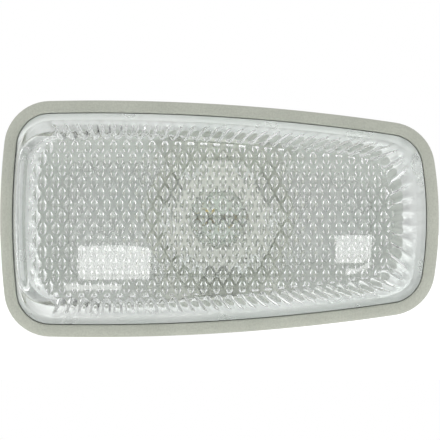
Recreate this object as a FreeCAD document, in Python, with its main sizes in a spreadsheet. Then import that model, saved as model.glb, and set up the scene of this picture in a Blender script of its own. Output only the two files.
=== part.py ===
import FreeCAD, Part
import math
import os
import Sketcher
from FreeCAD import Placement, Rotation, Vector

# Vehicle indicator lamp, in millimetres.
# X runs along the lamp, from its wide end to its narrow end. Z points up.
# Y points into the car. The lamp bears on the body panel at Y = 0 and its lens faces -Y.

doc = FreeCAD.newDocument("indicator_lamp")
sheet = doc.addObject("Spreadsheet::Sheet", "Sizes")

SIZES = [
    # Outline of the lamp, seen from the front
    ("lamp_length", 76.0),
    ("lamp_height", 41.0),
    ("crest_x", -21.6),
    ("long_bow", 355.0),
    ("wide_end_bow", 120.0),
    ("narrow_end_bow", 65.0),
    ("corner_round", 8.0),
    # Fit between moulded pieces that lie side by side
    ("fit_gap", 0.15),
    # Seal
    ("seal_band", 2.1),
    ("seal_height", 3.6),
    ("seal_lip", 2.4),
    ("seal_lip_thickness", 1.2),
    ("seal_outer_bevel", 0.8),
    ("seal_inner_bevel", 0.3),
    # Lens
    ("lens_wall", 1.9),
    ("lens_block", 7.5),
    ("lens_rise", 6.8),
    ("wide_end_slope", 1.2),
    ("narrow_end_slope", 8.0),
    ("long_side_slope", 4.6),
    ("lens_corner", 6.0),
    ("lens_cavity_corner", 5.0),
    ("lens_cavity_depth", 4.0),
    ("dome_radius", 500.0),
    ("shoulder_bevel", 0.9),
    # Diamond optics inside the lens
    ("diamond_width", 2.2),
    ("diamond_height", 4.0),
    ("diamond_depth", 0.6),
    ("diamond_x", -0.5),
    ("diamond_z", 0.3),
    ("optic_step", 0.05),
    ("optic_root", 0.5),
    ("optic_margin", 0.4),
    # Flutes on the inside of the lens walls
    ("flute_pitch", 1.9),
    ("flute_width", 1.6),
    ("flute_height", 0.35),
    ("flute_root", 0.3),
    ("flute_start", 0.6),
    # Housing
    ("flange_thickness", 1.6),
    ("tray_long_inset", 5.85),
    ("tray_end_inset", 6.7),
    ("tray_corner", 6.5),
    ("tray_draft", 22.0),
    ("tray_depth", 12.3),
    ("tray_wall", 1.65),
    ("bowl_front_radius", 13.3),
    ("bowl_floor_radius", 13.0),
    ("bowl_back_radius", 10.2),
    ("bowl_depth", 17.0),
    ("bowl_wall", 1.6),
    ("bore_radius", 8.5),
    ("bore_lip", 2.0),
    ("panel_grip", 2.5),
    ("hook_reach", 3.2),
    ("hook_height", 2.4),
    ("hook_width", 12.0),
    ("arm_reach", 2.9),
    ("arm_thickness", 1.3),
    ("arm_width", 9.0),
    ("gusset_thickness", 1.4),
    ("gusset_spacing", 10.0),
    ("gusset_length", 11.0),
    # Bulb holder
    ("holder_gap", 0.2),
    ("barrel_nose", 2.8),
    ("lug_width", 4.6),
    ("lug_thickness", 1.6),
    ("lug_reach", 1.5),
    ("notch_gap", 0.4),
    ("holder_flange_radius", 11.2),
    ("holder_flange_thickness", 2.0),
    ("ring_section", 1.5),
    ("ring_width", 2.0),
    ("ring_gap", 0.1),
    ("socket_length", 14.4),
    ("socket_height", 12.0),
    ("socket_wall", 1.2),
    ("socket_depth", 9.0),
    ("socket_floor", 2.8),
    ("socket_round", 1.0),
    ("wing_reach", 3.3),
    ("wing_thickness", 2.2),
    ("wing_depth", 7.0),
    # Contacts
    ("strip_width", 2.8),
    ("strip_thickness", 0.5),
    ("blade_length", 7.5),
    ("contact_x", 2.4),
    # Bulb
    ("bulb_radius", 5.1),
    ("bulb_length", 26.8),
    ("glass_thickness", 0.6),
    ("wedge_width", 9.5),
    ("wedge_thickness", 2.1),
    ("wedge_length", 8.2),
    ("wedge_taper", 3.6),
    ("wire_radius", 0.2),
    ("wire_fold", 6.2),
    ("filament_depth", 9.6),
    ("filament_radius", 0.22),
]
for row, (alias, value) in enumerate(SIZES, 1):
    sheet.set(f"A{row}", alias)
    sheet.set(f"B{row}", str(value))
    sheet.setAlias(f"B{row}", alias)
doc.recompute()


def size(expression):
    """Value of an expression over the sheet."""
    return float(sheet.evalExpression(expression))


def cell(alias):
    return f"Sizes.{alias}"


# Levels along Y and insets from the lamp's outline, as expressions over the sheet
FLANGE_BACK = "-Sizes.seal_lip_thickness"
FLANGE_FRONT = "-(Sizes.seal_lip_thickness + Sizes.flange_thickness)"
FOOT_INSET = "Sizes.seal_band + Sizes.fit_gap"
TRAY_FLOOR = f"{FLANGE_FRONT} + Sizes.tray_depth"
TRAY_BACK = f"{TRAY_FLOOR} + Sizes.tray_wall"
LIP_FRONT = "Sizes.bowl_depth"
LIP_BACK = f"{LIP_FRONT} + Sizes.bore_lip"
HOLDER_NOSE = f"{LIP_FRONT} - Sizes.barrel_nose"
HOLDER_FLANGE = f"{LIP_BACK} + Sizes.ring_gap + Sizes.ring_section"
HOLDER_BACK = f"{HOLDER_FLANGE} + Sizes.holder_flange_thickness"
SOCKET_FLOOR = f"{HOLDER_BACK} + Sizes.socket_floor"
BARREL_RADIUS = "Sizes.bore_radius - Sizes.holder_gap"
LUG_RADIUS = f"{BARREL_RADIUS} + Sizes.lug_reach"
BULB_FOOT = f"{HOLDER_NOSE} + Sizes.wedge_length"
BULB_TIP = f"{BULB_FOOT} - Sizes.bulb_length"


def lamp_outline(inset):
    """Outline of the lamp drawn in by a uniform inset."""
    return {
        "left": f"-Sizes.lamp_length / 2 + ({inset})",
        "right": f"Sizes.lamp_length / 2 - ({inset})",
        "rise": f"Sizes.lamp_height / 2 - ({inset})",
        "long_bow": f"Sizes.long_bow - ({inset})",
        "left_bow": f"Sizes.wide_end_bow - ({inset})",
        "right_bow": f"Sizes.narrow_end_bow - ({inset})",
        "corner": f"Sizes.corner_round - ({inset})",
    }


def uneven_outline(wide_inset, narrow_inset, long_inset, corner):
    """Outline of the lamp drawn in by a different inset at each end and along the long sides."""
    return {
        "left": f"-Sizes.lamp_length / 2 + ({wide_inset})",
        "right": f"Sizes.lamp_length / 2 - ({narrow_inset})",
        "rise": f"Sizes.lamp_height / 2 - ({long_inset})",
        "long_bow": f"Sizes.long_bow - ({long_inset})",
        "left_bow": f"Sizes.wide_end_bow - ({wide_inset})",
        "right_bow": f"Sizes.narrow_end_bow - ({narrow_inset})",
        "corner": corner,
    }


def circles_meet(centre_a, radius_a, centre_b, radius_b, side):
    """The upper point, on the given side, where two circles meet."""
    across = centre_b - centre_a
    distance = across.Length
    along = (radius_a ** 2 - radius_b ** 2 + distance ** 2) / (2 * distance)
    off = math.sqrt(radius_a ** 2 - along ** 2)
    unit = across * (1 / distance)
    foot = centre_a + unit * along
    normal = Vector(-unit.y, unit.x, 0) * off
    return max((foot + normal, foot - normal), key=lambda p: side * p.x + p.y)


def bind(sketch, kind, targets, expression):
    """Adds a dimension and binds it to the sheet."""
    index = sketch.addConstraint(Sketcher.Constraint(kind, *targets, size(expression)))
    sketch.setExpression(f"Constraints[{index}]", expression)


def draw_outline(sketch, edge):
    """Four long arcs and four tangent corner arcs, mirrored about the sketch's X axis."""
    at = {name: size(expression) for name, expression in edge.items()}
    crest = size(cell("crest_x"))
    corner = at["corner"]
    right = Vector(at["right"] - at["right_bow"], 0, 0)
    left = Vector(at["left"] + at["left_bow"], 0, 0)
    top = Vector(crest, at["rise"] - at["long_bow"], 0)
    reach = at["long_bow"] - corner
    right_corner = circles_meet(right, at["right_bow"] - corner, top, reach, 1)
    left_corner = circles_meet(left, at["left_bow"] - corner, top, reach, -1)

    def angle(start, end):
        return math.atan2(end.y - start.y, end.x - start.x)

    def mirrored(point):
        return Vector(point.x, -point.y, 0)

    a = angle(right, right_corner)
    b = angle(top, right_corner)
    c = angle(top, left_corner)
    d = angle(left, left_corner)
    turn = 2 * math.pi
    arcs = [
        (right, at["right_bow"], -a, a),
        (right_corner, corner, a, b),
        (top, at["long_bow"], b, c),
        (left_corner, corner, c, d),
        (left, at["left_bow"], d, turn - d),
        (mirrored(left_corner), corner, turn - d, turn - c),
        (mirrored(top), at["long_bow"], turn - c, turn - b),
        (mirrored(right_corner), corner, turn - b, turn - a),
    ]
    for centre, radius, start, end in arcs:
        circle = Part.Circle(centre, Vector(0, 0, 1), radius)
        sketch.addGeometry(Part.ArcOfCircle(circle, start, end), False)
    for index in range(8):
        sketch.addConstraint(Sketcher.Constraint("Tangent", index, 2, (index + 1) % 8, 1))
    bind(sketch, "Radius", (0,), edge["right_bow"])
    bind(sketch, "Radius", (4,), edge["left_bow"])
    for index in (2, 6):
        bind(sketch, "Radius", (index,), edge["long_bow"])
    for index in (1, 3, 5, 7):
        bind(sketch, "Radius", (index,), edge["corner"])
    for index in (0, 4):
        sketch.addConstraint(Sketcher.Constraint("PointOnObject", index, 3, -1))
    bind(sketch, "DistanceX", (-1, 1, 0, 3), f"{edge['right']} - ({edge['right_bow']})")
    bind(sketch, "DistanceX", (-1, 1, 4, 3), f"{edge['left']} + {edge['left_bow']}")
    for index, sign in ((2, 1), (6, -1)):
        bind(sketch, "DistanceX", (-1, 1, index, 3), cell("crest_x"))
        bind(sketch, "DistanceY", (-1, 1, index, 3), f"{sign} * ({edge['rise']} - ({edge['long_bow']}))")


def draw_polygon(sketch, corners, closed=True):
    """Straight lines through corners that are given as pairs of expressions."""
    points = [Vector(size(x), size(y), 0) for x, y in corners]
    count = len(points) if closed else len(points) - 1
    for index in range(count):
        sketch.addGeometry(Part.LineSegment(points[index], points[(index + 1) % len(points)]), False)
    for index in range(count if closed else count - 1):
        sketch.addConstraint(Sketcher.Constraint("Coincident", index, 2, (index + 1) % count, 1))
    ends = [(index, 1) for index in range(count)]
    if not closed:
        ends.append((count - 1, 2))
    for (index, end), (x, y) in zip(ends, corners):
        for kind, expression, axis in (("DistanceX", x, -2), ("DistanceY", y, -1)):
            if expression == "0":
                sketch.addConstraint(Sketcher.Constraint("PointOnObject", index, end, axis))
            else:
                bind(sketch, kind, (-1, 1, index, end), expression)


def draw_circle(sketch, radius, x="0", y="0"):
    sketch.addGeometry(Part.Circle(Vector(size(x), size(y), 0), Vector(0, 0, 1), size(radius)), False)
    bind(sketch, "Radius", (0,), radius)
    for kind, expression, axis in (("DistanceX", x, -2), ("DistanceY", y, -1)):
        if expression == "0":
            sketch.addConstraint(Sketcher.Constraint("PointOnObject", 0, 3, axis))
        else:
            bind(sketch, kind, (-1, 1, 0, 3), expression)


def box_corners(x0, x1, y0, y1):
    return [(x0, y0), (x1, y0), (x1, y1), (x0, y1)]


def front_sketch(name, level):
    """A free sketch that lies across the lamp at a level along Y; its normal points to the front."""
    sketch = doc.addObject("Sketcher::SketchObject", name)
    sketch.Placement = Placement(Vector(0, size(level), 0), Rotation(Vector(1, 0, 0), 90))
    sketch.setExpression("Placement.Base.y", level)
    return sketch


def plan_sketch(name, height="0"):
    """A free sketch that lies flat, in X and Y."""
    sketch = doc.addObject("Sketcher::SketchObject", name)
    sketch.Placement = Placement(Vector(0, 0, size(height)), Rotation())
    sketch.setExpression("Placement.Base.z", height)
    return sketch


def body_sketch(body, name, role, offset="0"):
    """A sketch on one of the body's own planes, moved along that plane's normal."""
    sketch = body.newObject("Sketcher::SketchObject", name)
    plane = [item for item in body.Origin.OriginFeatures if item.Role == role][0]
    sketch.AttachmentSupport = [(plane, "")]
    sketch.MapMode = "FlatFace"
    if offset != "0":
        sketch.AttachmentOffset = Placement(Vector(0, 0, size(offset)), Rotation())
        sketch.setExpression("AttachmentOffset.Base.z", offset)
    return sketch


def body_axis(body, role):
    return [item for item in body.Origin.OriginFeatures if item.Role == role][0]


def swept(name, sketch, direction, length, taper=None):
    """A straight extrusion, drawn in along its length where a taper is given."""
    solid = doc.addObject("Part::Extrusion", name)
    solid.Base = sketch
    solid.DirMode = "Custom"
    solid.Dir = direction
    solid.Solid = True
    solid.setExpression("LengthFwd", length)
    if taper:
        solid.setExpression("TaperAngle", f"-({taper})")
    return solid


def loft(name, sections):
    solid = doc.addObject("Part::Loft", name)
    solid.Sections = sections
    solid.Solid = True
    solid.Ruled = True
    return solid


def cut(name, base, tool):
    result = doc.addObject("Part::Cut", name)
    result.Base = base
    result.Tool = tool
    return result


def fuse(name, pieces, refine=True):
    result = doc.addObject("Part::MultiFuse", name)
    result.Shapes = pieces
    result.Refine = refine
    return result


def common(name, pieces):
    result = doc.addObject("Part::MultiCommon", name)
    result.Shapes = pieces
    result.Refine = False
    return result


FRONT = Vector(0, -1, 0)
BACK = Vector(0, 1, 0)
UP = Vector(0, 0, 1)

# Seal: an elastomer frame with a visible band around the lens and a lip under the housing's flange
seal = doc.addObject("PartDesign::Body", "panel_seal")
sketch = body_sketch(seal, "seal_outline", "XZ_Plane")
draw_outline(sketch, lamp_outline("0"))
seal_block = seal.newObject("PartDesign::Pad", "seal_block")
seal_block.Profile = sketch
seal_block.setExpression("Length", cell("seal_height"))
sketch = body_sketch(seal, "seal_recess_outline", "XZ_Plane", cell("seal_height"))
draw_outline(sketch, lamp_outline(cell("seal_band")))
seal_recess = seal.newObject("PartDesign::Pocket", "seal_recess")
seal_recess.Profile = sketch
seal_recess.setExpression("Length", "Sizes.seal_height - Sizes.seal_lip_thickness")
sketch = body_sketch(seal, "seal_window_outline", "XZ_Plane", cell("seal_height"))
draw_outline(sketch, lamp_outline("Sizes.seal_band + Sizes.seal_lip"))
seal_window = seal.newObject("PartDesign::Pocket", "seal_window")
seal_window.Profile = sketch
seal_window.setExpression("Length", "Sizes.seal_height")
doc.recompute()


def wide_end_edge(feature, level, inset):
    """Name of the edge at a level that crosses the wide end at an inset from the lamp's outline."""
    target = Vector(-size(cell("lamp_length")) / 2 + inset, level, 0)
    for number, edge in enumerate(feature.Shape.Edges, 1):
        middle = edge.valueAt((edge.FirstParameter + edge.LastParameter) / 2)
        if middle.distanceToPoint(target) < 1e-3:
            return f"Edge{number}"
    raise RuntimeError("no edge at the wide end")


# Each bevel runs on all around along the tangent edges
seal_front = -size(cell("seal_height"))
outer_bevel = seal.newObject("PartDesign::Chamfer", "seal_outer_edge")
outer_bevel.Base = (seal_window, [wide_end_edge(seal_window, seal_front, 0)])
outer_bevel.setExpression("Size", cell("seal_outer_bevel"))
doc.recompute()
inner_bevel = seal.newObject("PartDesign::Chamfer", "seal_inner_edge")
inner_bevel.Base = (outer_bevel, [wide_end_edge(outer_bevel, seal_front, size(cell("seal_band")))])
inner_bevel.setExpression("Size", cell("seal_inner_bevel"))
doc.recompute()

# Lens: sloping walls under a domed front, hollow from behind, with a flat foot that is welded to the flange
foot_sketch = front_sketch("lens_foot", FLANGE_FRONT)
draw_outline(foot_sketch, lamp_outline(FOOT_INSET))
top_sketch = front_sketch("lens_top", f"{FLANGE_FRONT} - Sizes.lens_block")
draw_outline(
    top_sketch,
    uneven_outline(
        f"{FOOT_INSET} + Sizes.wide_end_slope",
        f"{FOOT_INSET} + Sizes.narrow_end_slope",
        f"{FOOT_INSET} + Sizes.long_side_slope",
        cell("lens_corner"),
    ),
)
lens_walls = loft("lens_walls", [foot_sketch, top_sketch])
dome = doc.addObject("Part::Sphere", "lens_dome")
dome.setExpression("Radius", cell("dome_radius"))
dome_centre = f"{FLANGE_FRONT} - Sizes.lens_rise + Sizes.dome_radius"
dome.Placement.Base = Vector(0, size(dome_centre), 0)
dome.setExpression("Placement.Base.y", dome_centre)
lens_block = common("lens_block", [lens_walls, dome])
doc.recompute()
shoulder = doc.addObject("Part::Chamfer", "lens_shoulder")
shoulder.Base = lens_block
shoulder_edges = []
foot_level = size(FLANGE_FRONT)
for number, edge in enumerate(lens_block.Shape.Edges, 1):
    lowest = max(vertex.Y for vertex in edge.Vertexes)
    if lowest < foot_level - size("Sizes.lens_rise / 2"):
        shoulder_edges.append((number, size(cell("shoulder_bevel")), size(cell("shoulder_bevel"))))
shoulder.Edges = shoulder_edges
CAVITY_SHARE = "Sizes.lens_cavity_depth / Sizes.lens_block"
CAVITY_LEVEL = f"{FLANGE_FRONT} - Sizes.lens_cavity_depth"


def cavity_inset(slope):
    """Inset of the lens's inner front edge on a side with the given slope."""
    return f"{FOOT_INSET} + Sizes.lens_wall + {CAVITY_SHARE} * Sizes.{slope}"


def cavity_outline(margin):
    """Outline of the lens's flat inner face, drawn in by a margin."""
    return uneven_outline(
        f"{cavity_inset('wide_end_slope')} + {margin}",
        f"{cavity_inset('narrow_end_slope')} + {margin}",
        f"{cavity_inset('long_side_slope')} + {margin}",
        f"Sizes.lens_cavity_corner - {margin}",
    )


cavity_foot = front_sketch("lens_cavity_foot", FLANGE_FRONT)
draw_outline(cavity_foot, lamp_outline(f"{FOOT_INSET} + Sizes.lens_wall"))
cavity_top = front_sketch("lens_cavity_top", CAVITY_LEVEL)
draw_outline(cavity_top, cavity_outline("0"))
lens_cavity = loft("lens_cavity", [cavity_foot, cavity_top])
lens_cap = cut("lens_cap", shoulder, lens_cavity)
doc.recompute()

# Diamond optics: two sets of parallel ridges cross, and what they share is a field of four-sided
# pyramids that meet in valleys; only diamonds that fit whole on the inner face are kept
margin_sketch = front_sketch("optic_margin", f"{CAVITY_LEVEL} + Sizes.optic_step - Sizes.optic_root")
draw_outline(margin_sketch, cavity_outline(cell("optic_margin")))
doc.recompute()
across = size(cell("diamond_width"))
upright = size(cell("diamond_height"))
lean = math.atan2(upright, across)
ridge_pitch = across * math.sin(lean)
ridge_span = size("Sizes.lamp_length + Sizes.lamp_height")


def whole_diamonds():
    """Flat diamonds of the pattern that lie wholly inside the margin, joined into one face."""
    inside = Part.Face(Part.Wire(margin_sketch.Shape.Edges))
    level = margin_sketch.Placement.Base.y
    columns = int(ridge_span / 2 / across)
    rows = int(ridge_span / upright)
    diamonds = []
    for row in range(-rows, rows + 1):
        for column in range(-columns, columns + 1):
            x = size(cell("diamond_x")) + (column + (row % 2) / 2) * across
            z = size(cell("diamond_z")) + row * upright / 2
            tips = [Vector(x + across / 2, level, z), Vector(x, level, z + upright / 2)]
            tips += [Vector(x - across / 2, level, z), Vector(x, level, z - upright / 2)]
            if all(inside.isInside(tip, 1e-4, True) for tip in tips):
                diamonds.append(Part.Face(Part.makePolygon(tips + tips[:1])))
    return diamonds[0].multiFuse(diamonds[1:]).removeSplitter()


field = doc.addObject("Part::Feature", "optic_block")
field.Shape = whole_diamonds().extrude(BACK * size("Sizes.diamond_depth + Sizes.optic_root"))


def ridge_set(name, sign):
    """Parallel ridges across the whole lens, leaning to one side; one passes through the pattern's centre."""
    count = int(ridge_span / 2 / ridge_pitch) + 1
    root = -size(cell("optic_root"))
    edge = (count + 0.5) * ridge_pitch
    end = -ridge_span / 2
    points = [Vector(-edge, root, end), Vector(-edge, 0, end)]
    for step in range(-count, count + 1):
        points.append(Vector(step * ridge_pitch, size(cell("diamond_depth")), end))
        points.append(Vector((step + 0.5) * ridge_pitch, 0, end))
    points += [Vector(edge, root, end), points[0]]
    result = doc.addObject("Part::Feature", name)
    result.Shape = Part.Face(Part.makePolygon(points)).extrude(UP * ridge_span)
    result.Placement = Placement(
        Vector(size(cell("diamond_x")), size(f"{CAVITY_LEVEL} + Sizes.optic_step"), size(cell("diamond_z"))),
        Rotation(BACK, sign * math.degrees(math.pi / 2 - lean)),
    )
    return result


rising = common("optics_rising", [field, ridge_set("ridges_rising", 1)])
falling = common("optics_falling", [field, ridge_set("ridges_falling", -1)])
optics = common("lens_optics", [rising, falling])
doc.recompute()

# Flutes: short ridges up the inside of the two long walls and the narrow end wall
def wall_lines():
    """Evenly spaced points around the fluted edge of the inner face, each with its point at the foot."""
    edge = cavity_top.Geometry
    arcs = [arc.toShape() for arc in edge[6:] + edge[:3]]
    length = sum(arc.Length for arc in arcs)
    count = int(length / size(cell("flute_pitch")))
    foot = Part.Wire([arc.toShape() for arc in cavity_foot.Geometry])
    lines = []
    for step in range(count + 1):
        run = length * step / count
        index = 0
        while index < len(arcs) - 1 and run > arcs[index].Length:
            run -= arcs[index].Length
            index += 1
        arc = arcs[index]
        top = arc.valueAt(arc.getParameterByLength(min(run, arc.Length)))
        outward = (top - arc.Curve.Center).normalize()
        ray = Part.makeLine(top, top + outward * size(cell("lamp_height")))
        below = ray.distToShape(foot)[1][0][0]
        lines.append((cavity_foot.Placement.multVec(below), cavity_top.Placement.multVec(top)))
    return lines


def flute(line_a, line_b):
    """A straight ridge up the middle of the strip between two neighbouring lines, rooted in the wall."""
    foot = (line_a[0] + line_b[0]) * 0.5
    rise = (line_a[1] + line_b[1]) * 0.5 - foot
    start = foot + rise * size("Sizes.flute_start / Sizes.lens_cavity_depth")
    end = foot + rise * size("1 + Sizes.flute_root / Sizes.lens_cavity_depth")
    half = (line_b[1] - line_a[1]).normalize() * size("Sizes.flute_width / 2")
    inward = half.cross(rise).normalize()
    if inward.y < 0:
        inward = inward * -1
    root = inward * -size(cell("flute_root"))
    crest = inward * size(cell("flute_height"))
    corners = [start - half + root, start - half, start + crest, start + half, start + half + root]
    return Part.Face(Part.makePolygon(corners + corners[:1])).extrude(end - start)


lines = wall_lines()
flutes = doc.addObject("Part::Feature", "lens_flutes")
flutes.Shape = Part.Compound([flute(a, b) for a, b in zip(lines, lines[1:])])
lens = fuse("lens", [lens_cap, optics, flutes], refine=False)
doc.recompute()

# Housing: a flange that carries the lens, a tapered tray, a round bowl and a bored lip for the holder
flange_sketch = front_sketch("flange_outline", FLANGE_BACK)
draw_outline(flange_sketch, lamp_outline(FOOT_INSET))
flange = swept("flange_block", flange_sketch, FRONT, cell("flange_thickness"))


def tray_outline(outset):
    """Mouth of the tray, drawn out by an outset for its outer side."""
    end = f"Sizes.tray_end_inset - ({outset})"
    return uneven_outline(end, end, f"Sizes.tray_long_inset - ({outset})", f"Sizes.tray_corner + {outset}")


tray_skin_sketch = front_sketch("tray_skin_outline", FLANGE_FRONT)
draw_outline(tray_skin_sketch, tray_outline("Sizes.tray_wall / cos(Sizes.tray_draft)"))
tray_reach = "Sizes.tray_depth + Sizes.tray_wall"
tray_skin = swept("tray_skin", tray_skin_sketch, BACK, tray_reach, cell("tray_draft"))
tray_mouth_sketch = front_sketch("tray_mouth_outline", FLANGE_FRONT)
draw_outline(tray_mouth_sketch, tray_outline("0"))
tray_mouth = swept("tray_mouth", tray_mouth_sketch, BACK, cell("tray_depth"), cell("tray_draft"))


def turned(name, sketch):
    """A full turn about the lamp's Y axis."""
    solid = doc.addObject("Part::Revolution", name)
    solid.Source = sketch
    solid.Axis = BACK
    solid.Base = Vector(0, 0, 0)
    solid.Angle = 360
    solid.Solid = True
    return solid


def bowl_chain(wall):
    """Half section of the bowl, back to front: a parabola behind the tray's floor, then a steep cone."""
    floor = "Sizes.bowl_floor_radius"
    back = "Sizes.bowl_back_radius"
    middle = f"sqrt((({floor})^2 + ({back})^2) / 2)"
    return [
        (f"{back} + {wall}", LIP_FRONT),
        (f"{middle} + {wall}", f"({TRAY_FLOOR} + {LIP_FRONT}) / 2"),
        (f"{floor} + {wall}", TRAY_FLOOR),
        (f"Sizes.bowl_front_radius + {wall}", "0"),
    ]


skin_wall = cell("bowl_wall")
skin_mouth = f"Sizes.bowl_front_radius + {skin_wall}"
skin_back = f"Sizes.bowl_back_radius + {skin_wall}"
skin_sketch = plan_sketch("bowl_skin_profile")
skin_ends = [(skin_mouth, FLANGE_BACK), ("0", FLANGE_BACK), ("0", LIP_BACK), (skin_back, LIP_BACK)]
draw_polygon(skin_sketch, skin_ends + bowl_chain(skin_wall))
bowl_skin = turned("bowl_skin", skin_sketch)
mouth_sketch = plan_sketch("bowl_mouth_profile")
draw_polygon(mouth_sketch, [("0", "0"), ("0", LIP_FRONT)] + bowl_chain("0"))
bowl_mouth = turned("bowl_mouth", mouth_sketch)


def end_wall(level):
    """Distance of the tray's outer end wall from the middle of the lamp at a level along Y."""
    return (
        "Sizes.lamp_length / 2 - Sizes.tray_end_inset + Sizes.tray_wall / cos(Sizes.tray_draft)"
        f" - ({level} - ({FLANGE_FRONT})) * tan(Sizes.tray_draft)"
    )


def slab(name, corners, width, middle="0"):
    """A flat plate standing on edge, of the given width about a height along Z."""
    sketch = plan_sketch(f"{name}_outline", f"{middle} - {width} / 2")
    draw_polygon(sketch, corners)
    return swept(name, sketch, UP, width)


# The hook at the wide end goes behind the edge of the panel first
ROOT = "Sizes.tray_wall / 2"
GRIP = cell("panel_grip")
hook_end = f"{GRIP} + Sizes.hook_height"
hook_root = f"{hook_end} + Sizes.hook_reach"
hook_tip = f"-({end_wall(GRIP)} + Sizes.hook_reach)"
hook = slab(
    "hook",
    [
        (f"-({end_wall(GRIP)} - {ROOT})", GRIP),
        (hook_tip, GRIP),
        (hook_tip, hook_end),
        (f"-({end_wall(hook_root)} - {ROOT})", hook_root),
    ],
    cell("hook_width"),
)

# The sprung arm at the narrow end stands off the tray and snaps behind the panel
arm_base = f"{TRAY_BACK} - Sizes.tray_wall / 4"
arm_throat = f"{arm_base} - 2 * Sizes.arm_thickness"
arm_tip = f"{end_wall(GRIP)} + Sizes.arm_reach"
arm = slab(
    "arm",
    [
        (f"{end_wall(arm_base)} - {ROOT}", arm_base),
        (f"{end_wall(arm_base)} + Sizes.arm_thickness", arm_base),
        (arm_tip, f"{GRIP} + Sizes.arm_thickness"),
        (arm_tip, GRIP),
        (f"{arm_tip} - Sizes.arm_thickness", GRIP),
        (f"{end_wall(arm_throat)} + Sizes.fit_gap", arm_throat),
        (f"{end_wall(arm_throat)} - {ROOT}", arm_throat),
    ],
    cell("arm_width"),
)

# Four gussets brace the bowl against the back of the tray
gussets = []
for side_name, side in (("narrow", 1), ("wide", -1)):
    for height_name, height in (("upper", 0.5), ("lower", -0.5)):
        inner = f"{side} * Sizes.bowl_back_radius"
        outer = f"{side} * (Sizes.bowl_back_radius + Sizes.gusset_length)"
        base = f"{TRAY_BACK} - {ROOT}"
        corners = [
            (inner, base),
            (outer, base),
            (outer, f"{TRAY_BACK} + {ROOT}"),
            (inner, f"{LIP_BACK} - Sizes.bore_lip / 2"),
        ]
        middle = f"{height} * Sizes.gusset_spacing"
        gussets.append(slab(f"gusset_{side_name}_{height_name}", corners, cell("gusset_thickness"), middle))


def turned_corners(corners, degrees):
    """Corners in X and Z, turned about the Y axis."""
    c = round(math.cos(math.radians(degrees)), 9)
    s = round(math.sin(math.radians(degrees)), 9)
    return [(f"({x}) * {c} + ({z}) * {s}", f"({z}) * {c} - ({x}) * {s}") for x, z in corners]


# The bored lip has three notches that let the holder's lugs through, a sixth of a turn from where they lock
bore_sketch = front_sketch("bore_outline", f"{LIP_BACK} + Sizes.bore_lip")
draw_circle(bore_sketch, cell("bore_radius"))
bore_length = "2.5 * Sizes.bore_lip"
bore = swept("bore", bore_sketch, FRONT, bore_length)
notch_half = "Sizes.lug_width / 2 + Sizes.notch_gap"
notch_reach = f"{LUG_RADIUS} + Sizes.holder_gap"
notch_corners = box_corners(f"-({notch_half})", notch_half, "Sizes.bore_radius / 2", notch_reach)
notches = []
for degrees in (60, 180, 300):
    sketch = front_sketch(f"notch_outline_{degrees}", f"{LIP_BACK} + Sizes.bore_lip")
    draw_polygon(sketch, turned_corners(notch_corners, degrees))
    notches.append(swept(f"notch_{degrees}", sketch, FRONT, bore_length))

housing_solid = fuse("housing_solid", [flange, tray_skin, bowl_skin, hook, arm] + gussets)
housing_hollow = fuse("housing_hollow", [tray_mouth, bowl_mouth, bore] + notches)
housing = cut("housing", housing_solid, housing_hollow)
housing.Refine = True
doc.recompute()

# Bulb holder: a turned barrel with three locking lugs, a sealing flange, thumb wings and a connector socket
holder = doc.addObject("PartDesign::Body", "bulb_holder")
sketch = body_sketch(holder, "holder_profile", "XY_Plane")
draw_polygon(
    sketch,
    [
        ("0", HOLDER_NOSE),
        (BARREL_RADIUS, HOLDER_NOSE),
        (BARREL_RADIUS, HOLDER_FLANGE),
        (cell("holder_flange_radius"), HOLDER_FLANGE),
        (cell("holder_flange_radius"), HOLDER_BACK),
        ("0", HOLDER_BACK),
    ],
)
barrel = holder.newObject("PartDesign::Revolution", "holder_barrel")
barrel.Profile = sketch
barrel.ReferenceAxis = (sketch, ["V_Axis"])
barrel.Angle = 360


def holder_block(name, level, corners, length, to_back):
    """A block on the holder from a level along Y, to the back or to the front."""
    outline = body_sketch(holder, f"{name}_outline", "XZ_Plane", f"-({level})")
    draw_polygon(outline, corners)
    block = holder.newObject("PartDesign::Pad", name)
    block.Profile = outline
    block.Reversed = to_back
    block.setExpression("Length", length)
    return block


def holder_slot(name, level, corners, length, to_front):
    """A slot in the holder from a level along Y, to the front or to the back."""
    outline = body_sketch(holder, f"{name}_outline", "XZ_Plane", f"-({level})")
    draw_polygon(outline, corners)
    slot = holder.newObject("PartDesign::Pocket", name)
    slot.Profile = outline
    slot.Reversed = to_front
    slot.setExpression("Length", length)
    return slot


lug_level = f"{LIP_FRONT} - Sizes.holder_gap"
lug_corners = box_corners("-Sizes.lug_width / 2", "Sizes.lug_width / 2", "Sizes.bore_radius / 2", LUG_RADIUS)
lug = holder_block("lug", lug_level, lug_corners, cell("lug_thickness"), False)
lugs = holder.newObject("PartDesign::PolarPattern", "lugs")
lugs.Originals = [lug]
lugs.Axis = (body_axis(holder, "Y_Axis"), [""])
lugs.Angle = 360
lugs.Occurrences = 3
holder.Tip = lugs
doc.recompute()
socket_half = "Sizes.socket_length / 2"
socket_rise = "Sizes.socket_height / 2"
socket_corners = box_corners(f"-{socket_half}", socket_half, f"-{socket_rise}", socket_rise)
socket_reach = "Sizes.socket_floor + Sizes.socket_depth"
socket = holder_block("socket_block", HOLDER_BACK, socket_corners, socket_reach, True)
doc.recompute()
upright = [
    f"Edge{number}"
    for number, edge in enumerate(socket.Shape.Edges, 1)
    if edge.BoundBox.YLength > size(cell("socket_depth"))
]
socket_corner_round = holder.newObject("PartDesign::Fillet", "socket_corners")
socket_corner_round.Base = (socket, upright)
socket_corner_round.setExpression("Radius", cell("socket_round"))
doc.recompute()
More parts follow.
